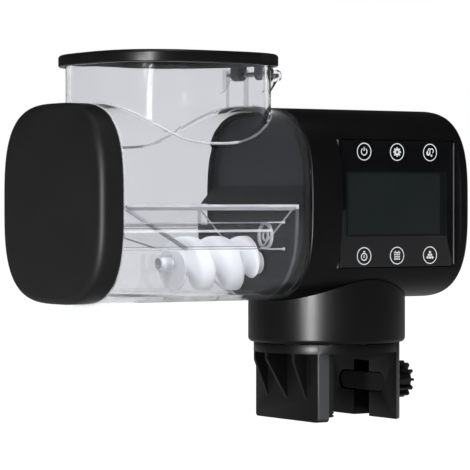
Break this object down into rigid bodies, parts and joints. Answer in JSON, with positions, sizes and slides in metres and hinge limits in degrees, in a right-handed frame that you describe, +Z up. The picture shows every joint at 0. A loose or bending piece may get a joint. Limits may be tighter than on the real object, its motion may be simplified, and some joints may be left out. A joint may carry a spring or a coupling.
{
  "type": "automatic fish feeder",
  "caption": "Automatic aquarium fish feeder: clear feed hopper with hinged lid and auger beside a black timer housing with display, on a swivelling rim clamp with a thumb wheel.",
  "frame": {"origin": "on the swivel axis, in the face of the clamp that rests on the tank rim", "axes": "+X from the end cap to the control housing, -Y out of the display, +Z up along the swivel axis"},
  "size_m": [0.1923, 0.086, 0.1617],
  "materials": {
    "satin_black": "satin",
    "housing_black": "smooth, softly shining",
    "wall_grey": "satin",
    "gloss_black": "high gloss",
    "clamp_grey": "satin",
    "clear": "clear",
    "white_plastic": "satin",
    "rubber_black": "dull",
    "steel": "brushed",
    "display_glass": "smooth",
    "board": "coated board",
    "lead_cover": "smooth"
  },
  "bodies": {
    "clamp": {"clamp_frame": "clamp_grey", "jaw_pad": "rubber_black", "swivel_glide_ring": "white_plastic", "swivel_washer": "steel", "swivel_screw": "steel"},
    "clamp_foot": {"pressure_foot": "clamp_grey", "foot_pad": "rubber_black", "clamp_screw": "steel"},
    "wheel": {"thumb_wheel": "satin_black", "wheel_retainer": "steel"},
    "drive": {"drive_gear": "white_plastic", "drive_shaft": "steel", "drive_coupling": "white_plastic", "auger_screw": "white_plastic"},
    "idler": {"idler_gear": "white_plastic"},
    "pinion": {"motor_pinion": "white_plastic", "motor_shaft": "steel"},
    "lid": {"lid": "satin_black", "lid_gasket": "rubber_black"},
    "cap": {"end_cap": "satin_black", "cap_seal": "rubber_black", "hopper_tube": "clear"},
    "head": {"collar": "clamp_grey", "collar_screw_1": "steel", "collar_screw_2": "steel", "collar_screw_3": "steel", "collar_screw_4": "steel", "housing_shell": "housing_black", "bulkhead": "wall_grey", "panel_lens": "gloss_black", "display": "display_glass", "touch_strip_1": "rubber_black", "touch_strip_2": "rubber_black", "control_board": "board", "board_screw_1": "steel", "board_screw_2": "steel", "board_screw_3": "steel", "board_screw_4": "steel", "power_inlet": "satin_black", "gear_plate": "white_plastic", "gear_plate_screw_1": "steel", "gear_plate_screw_2": "steel", "gear_plate_screw_3": "steel", "gear_plate_screw_4": "steel", "gear_motor": "steel", "motor_screw_1": "steel", "motor_screw_2": "steel", "idler_axle": "steel", "shaft_seal": "rubber_black", "hopper_barrel": "clear", "barrel_seal": "rubber_black", "funnel_insert": "clear", "auger_trough": "clear", "bearing_spider": "clear", "outlet_spout": "clear", "lid_hinge_pin": "steel", "motor_lead": "lead_cover", "inlet_lead": "lead_cover"}
  },
  "joints": [
    {"name": "foot_slide", "type": "slide", "parent": "clamp", "child": "clamp_foot", "axis": [-1, 0, 0], "range_m": [0, 0.0129]},
    {"name": "wheel_turn", "type": "hinge", "parent": "clamp", "child": "wheel", "pos_m": [0, 0, -0.0144], "axis": [-1, 0, 0], "range_deg": [0, 1872]},
    {"name": "head_swivel", "type": "hinge", "parent": "clamp", "child": "head", "pos_m": [0, 0, 0], "axis": [0, 0, 1], "range_deg": [-170, 170]},
    {"name": "drive_turn", "type": "hinge", "parent": "head", "child": "drive", "pos_m": [-0.0375, 0, 0.0403], "axis": [1, 0, 0], "continuous": true},
    {"name": "idler_turn", "type": "hinge", "parent": "head", "child": "idler", "pos_m": [-0.0375, 0.008, 0.06504], "axis": [1, 0, 0], "continuous": true},
    {"name": "pinion_turn", "type": "hinge", "parent": "head", "child": "pinion", "pos_m": [-0.0375, 0.008, 0.08404], "axis": [1, 0, 0], "continuous": true},
    {"name": "lid_hinge", "type": "hinge", "parent": "head", "child": "lid", "pos_m": [-0.0405, 0, 0.1223], "axis": [0, 1, 0], "range_deg": [0, 110]},
    {"name": "cap_slide", "type": "slide", "parent": "head", "child": "cap", "axis": [-1, 0, 0], "range_m": [0, 0.085]}
  ],
  "couplings": [
    {"joint": "wheel_turn", "follows": "foot_slide", "rad_per_m": 2513.3},
    {"joint": "idler_turn", "follows": "drive_turn", "ratio": -0.85714},
    {"joint": "pinion_turn", "follows": "drive_turn", "ratio": 2.4}
  ]
}
